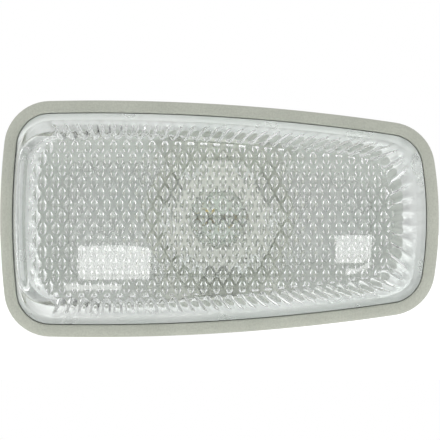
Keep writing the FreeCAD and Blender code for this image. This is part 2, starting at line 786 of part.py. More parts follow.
for side_name, side in (("narrow", 1), ("wide", -1)):
    wing_corners = box_corners(
        f"{side} * (Sizes.socket_length / 2 - Sizes.socket_wall / 2)",
        f"{side} * (Sizes.socket_length / 2 + Sizes.wing_reach)",
        "-Sizes.wing_thickness / 2",
        "Sizes.wing_thickness / 2",
    )
    holder_block(f"wing_{side_name}", HOLDER_BACK, wing_corners, cell("wing_depth"), True)
doc.recompute()
mouth_half = f"({socket_half} - Sizes.socket_wall)"
mouth_rise = f"({socket_rise} - Sizes.socket_wall)"
mouth_corners = box_corners(f"-{mouth_half}", mouth_half, f"-{mouth_rise}", mouth_rise)
holder_slot("socket_mouth", f"{SOCKET_FLOOR} + Sizes.socket_depth", mouth_corners, cell("socket_depth"), True)

# The wedge of the bulb stands in a slot with a contact channel on each face
SLOT_HALF = "Sizes.wedge_thickness / 2 + Sizes.fit_gap"
STRIP_INNER = "Sizes.wedge_thickness / 2 + 2 * Sizes.wire_radius"
STRIP_OUTER = f"{STRIP_INNER} + Sizes.strip_thickness"
slot_width = "Sizes.wedge_width / 2 + Sizes.fit_gap"
slot_corners = box_corners(f"-({slot_width})", slot_width, f"-({SLOT_HALF})", SLOT_HALF)
holder_slot("wedge_slot", HOLDER_NOSE, slot_corners, "Sizes.wedge_length + 3 * Sizes.wire_radius", False)
CONTACTS = (("a", -1), ("b", 1))
channel_half = "(Sizes.strip_width / 2 + Sizes.fit_gap)"
channel_length = f"{SOCKET_FLOOR} - ({HOLDER_NOSE}) - 2 * Sizes.strip_thickness"
neck_half = "(Sizes.strip_thickness / 2 + Sizes.fit_gap)"
for letter, side in CONTACTS:
    x0 = f"{side} * Sizes.contact_x - {channel_half}"
    x1 = f"{side} * Sizes.contact_x + {channel_half}"
    outer = f"{-side} * ({STRIP_OUTER} + Sizes.fit_gap / 2)"
    holder_slot(f"channel_{letter}", HOLDER_NOSE, box_corners(x0, x1, "0", outer), channel_length, False)
    neck_corners = box_corners(x0, x1, f"-{neck_half}", neck_half)
    holder_slot(f"neck_{letter}", SOCKET_FLOOR, neck_corners, "5 * Sizes.strip_thickness", True)
doc.recompute()

# Ring: a flat elastomer gasket on the barrel, against the holder's flange
ring_outer_sketch = front_sketch("ring_outer", HOLDER_FLANGE)
draw_circle(ring_outer_sketch, f"{BARREL_RADIUS} + Sizes.ring_gap + Sizes.ring_width")
ring_inner_sketch = front_sketch("ring_inner", HOLDER_FLANGE)
draw_circle(ring_inner_sketch, f"{BARREL_RADIUS} + Sizes.ring_gap")
ring_outer = swept("ring_block", ring_outer_sketch, FRONT, cell("ring_section"))
ring_inner = swept("ring_core", ring_inner_sketch, FRONT, cell("ring_section"))
ring = cut("holder_ring", ring_outer, ring_inner)

# Contacts: bent brass strips that press on the bulb's wires and end as blades in the socket
jog = f"{SOCKET_FLOOR} - 4 * Sizes.strip_thickness"
blade_end = f"{SOCKET_FLOOR} + Sizes.blade_length"
strip_start = f"{HOLDER_NOSE} + 2 * Sizes.strip_thickness"
for letter, side in CONTACTS:
    terminal = doc.addObject("PartDesign::Body", f"terminal_{letter}")
    strip_edge = f"{side} * Sizes.contact_x - Sizes.strip_width / 2"
    sketch = body_sketch(terminal, f"terminal_{letter}_profile", "YZ_Plane", strip_edge)
    face = "Sizes.strip_thickness / 2"
    profile = [
        (strip_start, STRIP_INNER),
        (strip_start, STRIP_OUTER),
        (f"{jog} + Sizes.strip_thickness", STRIP_OUTER),
        (f"{jog} + Sizes.strip_thickness", face),
        (blade_end, face),
        (blade_end, f"-{face}"),
        (jog, f"-{face}"),
        (jog, STRIP_INNER),
    ]
    draw_polygon(sketch, [(y, f"{-side} * ({z})") for y, z in profile])
    strip = terminal.newObject("PartDesign::Pad", f"terminal_{letter}_strip")
    strip.Profile = sketch
    strip.setExpression("Length", cell("strip_width"))
doc.recompute()

# Wires: each rises from the foot of the bulb to the filament and is folded up one face of the wedge
side_turn = Rotation(Vector(1, 1, 1), 120)


def side_sketch(name, x):
    """A free sketch in Y and Z at a distance along X."""
    result = doc.addObject("Sketcher::SketchObject", name)
    result.Placement = Placement(Vector(size(x), 0, 0), side_turn)
    result.setExpression("Placement.Base.x", x)
    return result


FILAMENT = f"{BULB_TIP} + Sizes.filament_depth"
fold_level = f"{BULB_FOOT} + Sizes.wire_radius"
wires = []
for letter, side in CONTACTS:
    contact = f"{side} * Sizes.contact_x"
    fold = f"{-side} * (Sizes.wedge_thickness / 2 + Sizes.wire_radius)"
    path = side_sketch(f"wire_path_{letter}", contact)
    draw_polygon(
        path,
        [(FILAMENT, "0"), (fold_level, "0"), (fold_level, fold), (f"{BULB_FOOT} - Sizes.wire_fold", fold)],
        closed=False,
    )
    section = front_sketch(f"wire_section_{letter}", FILAMENT)
    draw_circle(section, cell("wire_radius"), x=contact)
    wire = doc.addObject("Part::Sweep", f"lead_wire_{letter}")
    wire.Sections = [section]
    wire.Spine = (path, ["Edge1", "Edge2", "Edge3"])
    wire.Solid = True
    wire.Transition = "Right corner"
    wires.append(wire)
filament = doc.addObject("Part::Cylinder", "filament")
filament.setExpression("Radius", cell("filament_radius"))
filament.setExpression("Height", "2 * (Sizes.contact_x + Sizes.wire_radius)")
filament_level = f"{FILAMENT} - Sizes.filament_radius"
filament_end = "-(Sizes.contact_x + Sizes.wire_radius)"
filament_start = Vector(size(filament_end), size(filament_level), 0)
filament.Placement = Placement(filament_start, Rotation(Vector(0, 1, 0), 90))
filament.setExpression("Placement.Base.x", filament_end)
filament.setExpression("Placement.Base.y", filament_level)

# Bulb: a blown glass capsule whose foot is pinched flat into a wedge around the wires
CAPSULE_END = f"{HOLDER_NOSE} - Sizes.wedge_taper"
capsule_sketch = plan_sketch("capsule_profile")
dome_base = f"{BULB_TIP} + Sizes.bulb_radius"
inner_radius = "(Sizes.bulb_radius - Sizes.glass_thickness)"
draw_polygon(
    capsule_sketch,
    [
        (cell("bulb_radius"), dome_base),
        (cell("bulb_radius"), CAPSULE_END),
        ("0", CAPSULE_END),
        ("0", f"{CAPSULE_END} - 2 * Sizes.glass_thickness"),
        (inner_radius, f"{CAPSULE_END} - 2 * Sizes.glass_thickness"),
        (inner_radius, dome_base),
        (f"{inner_radius} * cos(45)", f"{dome_base} - {inner_radius} * sin(45)"),
        ("0", f"{BULB_TIP} + Sizes.glass_thickness"),
        ("0", BULB_TIP),
    ],
    closed=False,
)
radius = size(cell("bulb_radius"))
dome = Part.Circle(Vector(0, size(dome_base), 0), Vector(0, 0, 1), radius)
capsule_sketch.addGeometry([Part.ArcOfCircle(dome, -math.pi / 2, 0)], False)
capsule_sketch.addConstraint(Sketcher.Constraint("Coincident", 7, 2, 8, 1))
capsule_sketch.addConstraint(Sketcher.Constraint("Coincident", 8, 2, 0, 1))
capsule_sketch.addConstraint(Sketcher.Constraint("PointOnObject", 8, 3, -2))
capsule = turned("bulb_capsule", capsule_sketch)
taper_round_sketch = front_sketch("taper_round", HOLDER_NOSE)
draw_circle(taper_round_sketch, cell("bulb_radius"))
taper_round = swept("taper_cylinder", taper_round_sketch, FRONT, cell("wedge_taper"))
taper_side_sketch = side_sketch("taper_side", "-Sizes.bulb_radius")
wedge_half = "Sizes.wedge_thickness / 2"
draw_polygon(
    taper_side_sketch,
    [
        (CAPSULE_END, "-Sizes.bulb_radius"),
        (HOLDER_NOSE, f"-{wedge_half}"),
        (HOLDER_NOSE, wedge_half),
        (CAPSULE_END, cell("bulb_radius")),
    ],
)
taper_side = swept("taper_prism", taper_side_sketch, Vector(1, 0, 0), "2 * Sizes.bulb_radius")
taper = common("bulb_taper", [taper_round, taper_side])
wedge_sketch = front_sketch("wedge_outline", BULB_FOOT)
wedge_side = "Sizes.wedge_width / 2"
draw_polygon(wedge_sketch, box_corners(f"-{wedge_side}", wedge_side, f"-{wedge_half}", wedge_half))
wedge = swept("bulb_wedge", wedge_sketch, FRONT, "Sizes.wedge_length + Sizes.glass_thickness")
bulb_solid = fuse("bulb_solid", [capsule, taper, wedge])
bulb_bored = cut("bulb_bored", bulb_solid, wires[0])
bulb = cut("bulb_glass", bulb_bored, wires[1])
doc.recompute()

PIECES = [
    "panel_seal",
    "lens",
    "housing",
    "bulb_holder",
    "holder_ring",
    "terminal_a",
    "terminal_b",
    "bulb_glass",
    "lead_wire_a",
    "lead_wire_b",
    "filament",
]
for item in doc.Objects:
    if "Invalid" in item.State or "Error" in item.State:
        raise RuntimeError(f"{item.Name} did not build: {item.State}")
os.makedirs("parts", exist_ok=True)
for name in PIECES:
    piece = doc.getObject(name)
    if piece.Shape.isNull() or not piece.Shape.isValid():
        raise RuntimeError(f"{name} has no valid shape")
    piece.Label = name
    piece.Shape.exportStep(f"parts/{name}.step")
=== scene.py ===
import math

import bmesh
import bpy
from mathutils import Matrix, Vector


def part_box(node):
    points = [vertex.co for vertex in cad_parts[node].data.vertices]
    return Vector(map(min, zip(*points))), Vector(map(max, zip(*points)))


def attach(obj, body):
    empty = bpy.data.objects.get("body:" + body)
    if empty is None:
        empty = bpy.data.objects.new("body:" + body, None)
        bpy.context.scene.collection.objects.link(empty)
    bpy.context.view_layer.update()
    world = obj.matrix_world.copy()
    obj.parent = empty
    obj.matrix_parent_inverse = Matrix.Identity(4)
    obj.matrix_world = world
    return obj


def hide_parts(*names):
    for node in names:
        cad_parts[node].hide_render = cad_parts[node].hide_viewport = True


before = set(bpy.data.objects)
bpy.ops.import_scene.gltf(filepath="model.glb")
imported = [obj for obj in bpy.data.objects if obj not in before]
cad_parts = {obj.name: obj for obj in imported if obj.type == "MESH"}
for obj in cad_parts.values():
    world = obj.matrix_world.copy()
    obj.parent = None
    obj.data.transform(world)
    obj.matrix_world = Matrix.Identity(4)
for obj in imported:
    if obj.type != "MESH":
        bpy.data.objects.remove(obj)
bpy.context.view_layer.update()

# Panel seal: a soft frame that closes the joint between lamp and body panel.
# Moulded grey elastomer, stretched over the housing's flange; its rounded rim is what shows.
MM = 0.001
LAMP_LENGTH = 76.0
LAMP_HEIGHT = 41.0
CREST_X = -21.6
LONG_BOW = 355.0
WIDE_END_BOW = 120.0
NARROW_END_BOW = 65.0
LAMP_CORNER = 8.0
SEAL_BAND = 2.1
SEAL_HEIGHT = 3.6
SEAL_LIP = 2.4
SEAL_LIP_THICKNESS = 1.2


def circles_meet(centre_a, radius_a, centre_b, radius_b, side):
    """The upper point, on the given side, where two circles meet."""
    across = centre_b - centre_a
    distance = across.length
    along = (radius_a ** 2 - radius_b ** 2 + distance ** 2) / (2 * distance)
    off = math.sqrt(radius_a ** 2 - along ** 2)
    unit = across / distance
    foot = centre_a + unit * along
    normal = Vector((-unit.y, unit.x)) * off
    return max((foot + normal, foot - normal), key=lambda p: side * p.x + p.y)


def outline_arcs(wide_inset, narrow_inset, long_inset, corner):
    """The lamp's outline drawn in: eight arcs as centre, radius, start and end, in mm."""
    right_bow = NARROW_END_BOW - narrow_inset
    left_bow = WIDE_END_BOW - wide_inset
    long_bow = LONG_BOW - long_inset
    right = Vector((LAMP_LENGTH / 2 - narrow_inset - right_bow, 0))
    left = Vector((wide_inset - LAMP_LENGTH / 2 + left_bow, 0))
    top = Vector((CREST_X, LAMP_HEIGHT / 2 - long_inset - long_bow))
    right_corner = circles_meet(right, right_bow - corner, top, long_bow - corner, 1)
    left_corner = circles_meet(left, left_bow - corner, top, long_bow - corner, -1)

    def angle(start, end):
        return math.atan2(end.y - start.y, end.x - start.x)

    def low(point):
        return Vector((point.x, -point.y))

    a = angle(right, right_corner)
    b = angle(top, right_corner)
    c = angle(top, left_corner)
    d = angle(left, left_corner)
    turn = 2 * math.pi
    return [
        (right, right_bow, -a, a),
        (right_corner, corner, a, b),
        (top, long_bow, b, c),
        (left_corner, corner, c, d),
        (left, left_bow, d, turn - d),
        (low(left_corner), corner, turn - d, turn - c),
        (low(top), long_bow, turn - c, turn - b),
        (low(right_corner), corner, turn - b, turn - a),
    ]


def even_outline(inset):
    return outline_arcs(inset, inset, inset, LAMP_CORNER - inset)


def outline_points(arcs, counts):
    """Points along eight arcs, the same number on each arc for every inset, so that rings match."""
    points = []
    for (centre, radius, start, end), count in zip(arcs, counts):
        for step in range(count):
            turn = start + (end - start) * step / count
            points.append(centre + Vector((math.cos(turn), math.sin(turn))) * radius)
    return points


def rings_to_mesh(bm, rings, closed=True):
    """Skins rings of points, in mm, with quads; returns the rings of vertices."""
    rows = [[bm.verts.new(Vector(p) * MM) for p in ring] for ring in rings]
    pairs = list(zip(rows, rows[1:]))
    if closed:
        pairs.append((rows[-1], rows[0]))
    for low, high in pairs:
        for i in range(len(low)):
            j = (i + 1) % len(low)
            bm.faces.new((low[i], low[j], high[j], high[i]))
    return rows


def finished(name, bm, material, sharp=None):
    """Turns a bmesh into a piece: normals outwards, smooth, crisp above an angle if one is given."""
    bmesh.ops.recalc_face_normals(bm, faces=bm.faces)
    mesh = bpy.data.meshes.new(name)
    bm.to_mesh(mesh)
    bm.free()
    mesh.materials.append(material)
    mesh.shade_smooth()
    if sharp:
        mesh.set_sharp_from_angle(angle=math.radians(sharp))
    piece = bpy.data.objects.new(name, mesh)
    bpy.context.scene.collection.objects.link(piece)
    return piece


def linear(hex_colour):
    """sRGB hex to a linear colour."""
    channels = []
    for start in (1, 3, 5):
        value = int(hex_colour[start:start + 2], 16) / 255
        channels.append(value / 12.92 if value <= 0.04045 else ((value + 0.055) / 1.055) ** 2.4)
    return (*channels, 1.0)


def add(tree, kind, inputs=None, stops=(), **settings):
    """Adds a node: its settings, a ramp's stops, then its inputs, each a value, a socket or a node."""
    node = tree.nodes.new(kind)
    for key, value in settings.items():
        setattr(node, key, value)
    for number, (position, colour) in enumerate(stops):
        elements = node.color_ramp.elements
        if number == 0:
            elements.remove(elements[1])
            elements[0].position = position
        element = elements.new(position) if number else elements[0]
        element.color = linear(colour) if isinstance(colour, str) else (colour, colour, colour, 1.0)
    for key, value in (inputs or {}).items():
        if isinstance(value, bpy.types.Node):
            value = value.outputs[0]
        if isinstance(value, bpy.types.NodeSocket):
            tree.links.new(value, node.inputs[key])
        else:
            node.inputs[key].default_value = value
    return node


def new_material(name):
    """An empty node material and its tree."""
    material = bpy.data.materials.new(name)
    material.use_nodes = True
    material.node_tree.nodes.clear()
    return material, material.node_tree


NOISE = "ShaderNodeTexNoise"
RAMP = "ShaderNodeValToRGB"
BUMP = "ShaderNodeBump"
PRINCIPLED = "ShaderNodeBsdfPrincipled"
# Moulded elastomer: a matt warm grey, slightly uneven in tone, with the fine grain of an eroded mould
seal_grey, tree = new_material("grey_elastomer_moulded")
place = add(tree, "ShaderNodeTexCoord").outputs["Object"]
cloud = add(tree, NOISE, {"Vector": place, "Scale": 1 / (9 * MM), "Detail": 4.0})
grain = add(tree, NOISE, {"Vector": place, "Scale": 1 / (0.28 * MM), "Detail": 3.0})
tone = add(tree, RAMP, {"Fac": cloud}, stops=[(0.3, "#B9BCB0"), (0.7, "#C2C5B9")])
speck = add(tree, RAMP, {"Fac": grain}, stops=[(0.36, 0.88), (0.6, 1.0)])
colour = add(
    tree,
    "ShaderNodeMix",
    {0: 1.0, 6: tone, 7: speck},
    data_type="RGBA",
    blend_type="MULTIPLY",
)
rough = add(tree, RAMP, {"Fac": cloud}, stops=[(0.3, 0.62), (0.7, 0.72)])
bump = add(tree, BUMP, {"Strength": 0.25, "Distance": 0.06 * MM, "Height": grain})
shader = add(
    tree,
    PRINCIPLED,
    {"Base Color": colour.outputs[2], "Roughness": rough, "IOR": 1.48, "Normal": bump},
)
add(tree, "ShaderNodeOutputMaterial", {"Surface": shader})

RIM_COUNTS = (16, 12, 48, 12, 22, 12, 48, 12)
OUTER_ROUND = 1.2
INNER_ROUND = 0.4
OUTER_STEPS = 6
INNER_STEPS = 4
profile = [(0.0, 0.0), (0.0, -SEAL_LIP_THICKNESS)]
for step in range(OUTER_STEPS + 1):
    turn = math.pi / 2 * step / OUTER_STEPS
    bend = SEAL_HEIGHT - OUTER_ROUND
    profile.append((OUTER_ROUND * (1 - math.cos(turn)), -bend - OUTER_ROUND * math.sin(turn)))
for step in range(INNER_STEPS + 1):
    turn = math.pi / 2 * step / INNER_STEPS
    bend = SEAL_HEIGHT - INNER_ROUND
    inset = SEAL_BAND - INNER_ROUND * (1 - math.sin(turn))
    profile.append((inset, -bend - INNER_ROUND * math.cos(turn)))
profile += [
    (SEAL_BAND, -SEAL_LIP_THICKNESS),
    (SEAL_BAND + SEAL_LIP, -SEAL_LIP_THICKNESS),
    (SEAL_BAND + SEAL_LIP, 0.0),
]
rings = []
for inset, y in profile:
    rings.append([(p.x, y, p.y) for p in outline_points(even_outline(inset), RIM_COUNTS)])
bm = bmesh.new()
rings_to_mesh(bm, rings)
seal = finished("panel_seal_rim", bm, seal_grey, sharp=50)
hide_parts("panel_seal")
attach(seal, "lamp")

# Housing: a tray with a round bowl behind the lens, a welded flange and snap clips at its ends.
# Moulded in grey styrene copolymer; its inside has a reflecting film of vapour-deposited aluminium.
TRAY_REACH = 33.0
FLANGE_BACK = -1.2
BOWL_BACK = 17.0
BOWL_REACH = 13.5
BORE_REACH = 10.3
BORE_START = 12.0
FILM_LEAN = 0.15
BORE_LEAN = 0.5
SQUARE_ON = 0.999


def smooth_copy(name, node, materials, sharp=35):
    """A joined copy of a CAD node's triangles: smooth where it curves, flat on its ends."""
    bm = bmesh.new()
    bm.from_mesh(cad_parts[node].data)
    bmesh.ops.remove_doubles(bm, verts=bm.verts, dist=0.001 * MM)
    bmesh.ops.dissolve_degenerate(bm, edges=bm.edges, dist=0.0005 * MM)
    mesh = bpy.data.meshes.new(name)
    bm.to_mesh(mesh)
    bm.free()
    for material in materials:
        mesh.materials.append(material)
    mesh.shade_smooth()
    mesh.set_sharp_from_angle(angle=math.radians(sharp))
    for face in mesh.polygons:
        face.use_smooth = abs(face.normal.y) < SQUARE_ON
    piece = bpy.data.objects.new(name, mesh)
    bpy.context.scene.collection.objects.link(piece)
    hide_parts(node)
    return piece


# Styrene moulding: mid grey with a satin skin, faint flow marks and a fine grain
grey_moulding, tree = new_material("grey_styrene_moulding")
place = add(tree, "ShaderNodeTexCoord").outputs["Object"]
flow = add(tree, NOISE, {"Vector": place, "Scale": 1 / (14 * MM), "Detail": 3.0, "Distortion": 0.6})
grain = add(tree, NOISE, {"Vector": place, "Scale": 1 / (0.35 * MM), "Detail": 2.0})
tone = add(tree, RAMP, {"Fac": flow}, stops=[(0.3, "#83868A"), (0.7, "#8D9093")])
rough = add(tree, RAMP, {"Fac": flow}, stops=[(0.3, 0.42), (0.7, 0.52)])
bump = add(tree, BUMP, {"Strength": 0.15, "Distance": 0.04 * MM, "Height": grain})
shader = add(
    tree,
    PRINCIPLED,
    {"Base Color": tone, "Roughness": rough, "IOR": 1.54, "Normal": bump},
)
add(tree, "ShaderNodeOutputMaterial", {"Surface": shader})

# Vapour-deposited aluminium: a satin silver that is a little wavy, as the film follows the moulding.
# Its tones run from the flange, at 0, to the back of the bowl, at 1; on the flat floor the tone is
# painted darker, a painted shade.
silver_film, tree = new_material("aluminium_film_vapour_deposited")
place = add(tree, "ShaderNodeTexCoord").outputs["Object"]
wave = add(tree, NOISE, {"Vector": place, "Scale": 1 / (5 * MM), "Detail": 2.0})
depth = add(tree, "ShaderNodeSeparateXYZ", {0: place}).outputs["Y"]
laid = add(tree, "ShaderNodeMapRange", {0: depth, 1: FLANGE_BACK * MM, 2: BOWL_BACK * MM})
# The darker stops on the flat floor are painted shade, not a change in the film itself
FILM_TONES_AND_PAINTED_SHADE = [
    (0.54, "#EFF0EE"),
    (0.58, "#C7C9C5"),
    (0.6, "#C7C9C5"),
    (0.63, "#F3F4F2"),
    (0.92, "#EBEDEA"),
]
tone = add(tree, RAMP, {"Fac": laid}, stops=FILM_TONES_AND_PAINTED_SHADE)
rough = add(tree, RAMP, {"Fac": wave}, stops=[(0.3, 0.26), (0.7, 0.32)])
bump = add(tree, BUMP, {"Strength": 0.2, "Distance": 0.03 * MM, "Height": wave})
shader = add(
    tree,
    PRINCIPLED,
    {"Base Color": tone, "Metallic": 1.0, "Roughness": rough, "Normal": bump},
)
add(tree, "ShaderNodeOutputMaterial", {"Surface": shader})

housing = smooth_copy("housing_moulding", "housing", [grey_moulding, silver_film])
for face in housing.data.polygons:
    x, y, z = face.center / MM
    in_tray = abs(x) < TRAY_REACH or y < FLANGE_BACK
    in_bowl = math.hypot(x, z) < BOWL_REACH and y < BORE_START
    in_bore = math.hypot(x, z) < BORE_REACH and y > BORE_START
    faces_front = face.normal.y < -FILM_LEAN
    leans_in = face.normal.x * x + face.normal.z * z < 0 and abs(face.normal.y) < FILM_LEAN
    if in_tray and faces_front or in_bowl and leans_in or in_bore and face.normal.y < BORE_LEAN:
        face.material_index = 1
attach(housing, "lamp")

# Lens: one clear moulding with a domed front, diamonds inside it and flutes up its inner walls.
# Injection moulded acrylic with polished faces; its foot is welded to the housing's flange all around.
FLANGE_FRONT = -2.8
WELD_LINE = 0.03
LENS_FOOT = FLANGE_FRONT - WELD_LINE
FOOT_INSET = 2.25
LENS_WALL = 1.9
LENS_BLOCK = 7.5
DOME_APEX = -9.6
DOME_RADIUS = 500.0
WIDE_SLOPE = 1.2
NARROW_SLOPE = 8.0
LONG_SLOPE = 4.6
LENS_CORNER = 6.0
CAVITY_CORNER = 5.0
CAVITY_DEPTH = 4.0
SHOULDER = 1.0
DIAMOND_WIDTH = 2.2
DIAMOND_HEIGHT = 4.0
DIAMOND_X = -0.5
DIAMOND_Z = 0.3
PILLOW_HEIGHT = 0.5
PILLOW_FULLNESS = 0.8
DIAMOND_LAND = 0.46
OPTIC_MARGIN = 0.5
FLUTE_PITCH = 1.9
FLUTE_SHARE = 0.84
FLUTE_HEIGHT = 0.35
FLUTE_START = 0.15
FLUTE_RUN_IN = 0.15
COLUMNS_PER_FLUTE = 8
PLAIN_COLUMN = 0.7
WALL_RISES = (1.0, 0.8, 0.6, 0.4, 0.3, 0.25, 0.2, 0.15, 0.0)
SHOULDER_STEPS = 6

# Clear acrylic: water-clear, with the faintest haze where the melt flowed
acrylic, tree = new_material("clear_acrylic_polished")
place = add(tree, "ShaderNodeTexCoord").outputs["Object"]
flow = add(tree, NOISE, {"Vector": place, "Scale": 1 / (12 * MM), "Detail": 2.0})
tone = add(tree, RAMP, {"Fac": flow}, stops=[(0.3, "#F8FBFA"), (0.7, "#FDFEFE")])
rough = add(tree, RAMP, {"Fac": flow}, stops=[(0.3, 0.0), (0.7, 0.03)])
shader = add(
    tree,
    PRINCIPLED,
    {"Base Color": tone, "Roughness": rough, "IOR": 1.49, "Transmission Weight": 1.0},
)
add(tree, "ShaderNodeOutputMaterial", {"Surface": shader})

share = CAVITY_DEPTH / LENS_BLOCK
LAND_SHARE = DIAMOND_LAND / (DIAMOND_WIDTH * math.sin(math.atan2(DIAMOND_HEIGHT, DIAMOND_WIDTH)))
inner_inset = FOOT_INSET + LENS_WALL
foot_arcs = even_outline(FOOT_INSET)
top_arcs = outline_arcs(
    FOOT_INSET + WIDE_SLOPE,
    FOOT_INSET + NARROW_SLOPE,
    FOOT_INSET + LONG_SLOPE,
    LENS_CORNER,
)
inner_foot_arcs = even_outline(inner_inset)


def cavity_arcs(margin):
    """Outline of the flat inner face, drawn in by a margin."""
    return outline_arcs(
        inner_inset + share * WIDE_SLOPE + margin,
        inner_inset + share * NARROW_SLOPE + margin,
        inner_inset + share * LONG_SLOPE + margin,
        CAVITY_CORNER - margin,
    )


# Columns of the lens mesh: eight to a flute along the fluted arcs, wider elsewhere
inner_top_arcs = cavity_arcs(0.0)
lengths = [radius * (end - start) for centre, radius, start, end in inner_top_arcs]
FLUTED = (6, 7, 0, 1, 2)
fluted_run = sum(lengths[i] for i in FLUTED)
flute_count = int(fluted_run / FLUTE_PITCH)
pitch = fluted_run / flute_count
counts = []
for i in range(8):
    column = pitch / COLUMNS_PER_FLUTE if i in FLUTED else PLAIN_COLUMN
    counts.append(round(lengths[i] / column))
flute_height = []
for i in range(8):
    before = sum(lengths[j] for j in FLUTED[:FLUTED.index(i)]) if i in FLUTED else 0.0
    for step in range(counts[i]):
        place_in_flute = ((before + lengths[i] * step / counts[i]) / pitch) % 1.0
        ridge = 1 - ((place_in_flute - 0.5) / (FLUTE_SHARE / 2)) ** 2
        flute_height.append(FLUTE_HEIGHT * max(ridge, 0.0) if i in FLUTED else 0.0)
foot = outline_points(foot_arcs, counts)
top = outline_points(top_arcs, counts)
inner_foot = outline_points(inner_foot_arcs, counts)
inner_top = outline_points(inner_top_arcs, counts)
total = len(foot)


def dome_level(x, z):
    return DOME_APEX + DOME_RADIUS - math.sqrt(DOME_RADIUS ** 2 - x * x - z * z)


def inner_ring(rise):
    """A ring of the fluted inner wall at a share of its height."""
    ring = []
    for i in range(total):
        along = inner_top[(i + 1) % total] - inner_top[i - 1]
        low = Vector((inner_foot[i].x, LENS_FOOT, inner_foot[i].y))
        high = Vector((inner_top[i].x, FLANGE_FRONT - CAVITY_DEPTH, inner_top[i].y))
        inward = Vector((along.x, 0, along.y)).cross(high - low).normalized()
        if inward.y < 0:
            inward = -inward
        ramp = min(max((rise - FLUTE_START) / FLUTE_RUN_IN, 0.0), 1.0)
        height = flute_height[i] * ramp * ramp * (3 - 2 * ramp)
        reach = rise * (1 + height * inward.y / (low.y - high.y))
        ring.append(low + (high - low) * reach + inward * height)
    return ring


def shoulder_edge(i):
    """The foot of the outer wall's line, and where it meets the dome, found in a few steps."""
    low = Vector((foot[i].x, LENS_FOOT, foot[i].y))
    high = Vector((top[i].x, FLANGE_FRONT - LENS_BLOCK, top[i].y))
    rise = 0.9
    for step in range(12):
        at = low + (high - low) * rise
        rise = (low.y - dome_level(at.x, at.z)) / (low.y - high.y)
    return low, low + (high - low) * rise


wall_feet, edges = zip(*(shoulder_edge(i) for i in range(total)))
wall_bends = []
dome_bends = []
for i in range(total):
    wall_bends.append(edges[i] + (wall_feet[i] - edges[i]).normalized() * SHOULDER)
    along = edges[(i + 1) % total] - edges[i - 1]
    inward = Vector((-along.z, 0, along.x)).normalized()
    x, y, z = edges[i] + inward * SHOULDER
    dome_bends.append(Vector((x, dome_level(x, z), z)))
rings = [inner_ring(rise) for rise in WALL_RISES]
rings.append(list(wall_feet))
for step in range(SHOULDER_STEPS + 1):
    t = step / SHOULDER_STEPS
    ring = []
    for i in range(total):
        ring.append(wall_bends[i] * (1 - t) ** 2 + edges[i] * 2 * t * (1 - t) + dome_bends[i] * t * t)
    rings.append(ring)
DOME_CENTRE_X = -1.5
DOME_SCALES = (0.9, 0.75, 0.55, 0.35, 0.15)
for scale in DOME_SCALES:
    ring = []
    for point in dome_bends:
        x = DOME_CENTRE_X + (point.x - DOME_CENTRE_X) * scale
        ring.append(Vector((x, dome_level(x, point.z * scale), point.z * scale)))
    rings.append(ring)
bm = bmesh.new()
rows = rings_to_mesh(bm, rings, closed=False)
middle = bm.verts.new(Vector((DOME_CENTRE_X, dome_level(DOME_CENTRE_X, 0), 0)) * MM)
for i in range(total):
    bm.faces.new((rows[-1][i], rows[-1][(i + 1) % total], middle))


def inside(outline, point):
    """Whether a point lies inside a closed outline."""
    crossings = 0
    for a, b in zip(outline, outline[1:] + outline[:1]):
        if (a.y > point.y) != (b.y > point.y):
            if point.x < a.x + (b.x - a.x) * (point.y - a.y) / (b.y - a.y):
                crossings += 1
    return crossings % 2 == 1


# Diamond optics: one soft pillow on every place of the pattern; those at the edge are cut by the margin
ROWS = 12
COLUMNS = 20
CORNERS_AND_SIDES = (
    (1, 0),
    (0.5, 0.5),
    (0, 1),
    (-0.5, 0.5),
    (-1, 0),
    (-0.5, -0.5),
    (0, -1),
    (0.5, -0.5),
)
half_x = DIAMOND_WIDTH / 2
half_z = DIAMOND_HEIGHT / 2
margin = outline_points(cavity_arcs(OPTIC_MARGIN), RIM_COUNTS)
whole_places = []
cut_places = []
for row in range(-ROWS, ROWS + 1):
    for column in range(-COLUMNS, COLUMNS + 1):
        x = DIAMOND_X + (column + (row % 2) / 2) * DIAMOND_WIDTH
        z = DIAMOND_Z + row * DIAMOND_HEIGHT / 2
        held = 0
        for step_x, step_z in CORNERS_AND_SIDES:
            held += inside(margin, Vector((x + step_x * half_x, z + step_z * half_z)))
        if held:
            places = whole_places if held == len(CORNERS_AND_SIDES) else cut_places
            places.append(Vector((x, FLANGE_FRONT - CAVITY_DEPTH, z)) * MM)
diamond_tree = bpy.data.node_groups.new("diamond_optics", "GeometryNodeTree")
tree = diamond_tree
tree.is_modifier = True
tree.interface.new_socket("Places", in_out="INPUT", socket_type="NodeSocketGeometry")
sockets = {}
for name in ("Half Width", "Half Height", "Pillow Height", "Land Share"):
    socket = tree.interface.new_socket(name, in_out="INPUT", socket_type="NodeSocketFloat")
    sockets[name] = socket.identifier
tree.interface.new_socket("Optics", in_out="OUTPUT", socket_type="NodeSocketGeometry")
given = add(tree, "NodeGroupInput").outputs
patch = add(
    tree,
    "GeometryNodeMeshGrid",
    {"Size X": 1.0, "Size Y": 1.0, "Vertices X": 9, "Vertices Y": 9},
)
spot = add(tree, "GeometryNodeInputPosition")

# Of the eight steps across a diamond, the outer two are the flat land and the others the pillow
MATH = "ShaderNodeMath"
VECTOR = "ShaderNodeVectorMath"
swell = add(tree, MATH, {0: 1.0, 1: given["Land Share"]}, operation="SUBTRACT")
stretch = add(tree, MATH, {0: swell, 1: 6 / 8}, operation="DIVIDE")
spread = add(tree, VECTOR, {0: spot, "Scale": stretch}, operation="SCALE")
spread = add(tree, VECTOR, {0: spread, 1: (0.5, 0.5, 0.5)}, operation="MINIMUM")
spread = add(tree, VECTOR, {0: spread, 1: (-0.5, -0.5, -0.5)}, operation="MAXIMUM")

